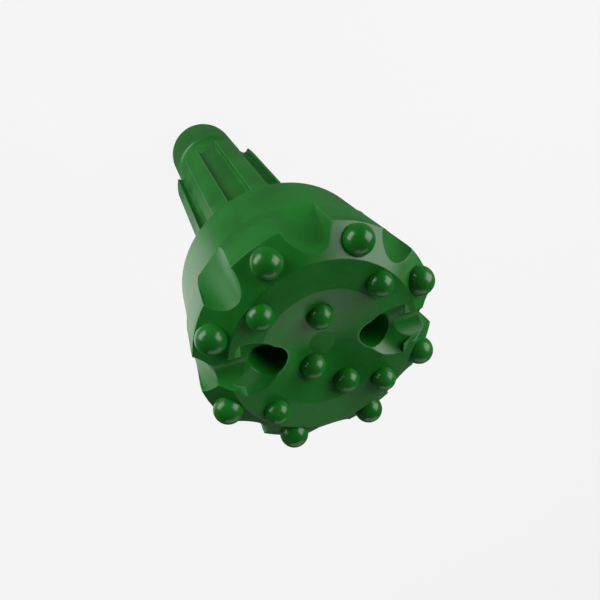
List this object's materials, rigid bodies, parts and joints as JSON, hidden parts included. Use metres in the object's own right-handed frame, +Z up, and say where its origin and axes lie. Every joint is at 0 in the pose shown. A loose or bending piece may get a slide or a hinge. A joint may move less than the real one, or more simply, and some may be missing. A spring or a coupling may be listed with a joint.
{
  "type": "button drill bit",
  "caption": "Down-the-hole rock drill button bit: splined shank, tapered head, gullets round the gauge and domed carbide buttons on a dished face.",
  "frame": {"origin": "centre of the strike face, on which the bit stands", "axes": "+Z up the bit towards the drilling face; +X along one of the two flushing channels of the face"},
  "size_m": [0.1488, 0.1482, 0.42],
  "materials": {
    "body_paint": "semi-gloss green paint over machined steel",
    "button_paint": "semi-gloss green paint over carbide"
  },
  "bodies": {
    "root": {"bit_body": "body_paint", "gauge_button_1": "button_paint", "gauge_button_2": "button_paint", "gauge_button_3": "button_paint", "gauge_button_4": "button_paint", "gauge_button_5": "button_paint", "gauge_button_6": "button_paint", "gauge_button_7": "button_paint", "gauge_button_8": "button_paint", "ring_button_1": "button_paint", "ring_button_2": "button_paint", "ring_button_3": "button_paint", "ring_button_4": "button_paint", "inner_button_1": "button_paint", "inner_button_2": "button_paint", "inner_button_3": "button_paint"}
  },
  "joints": []
}
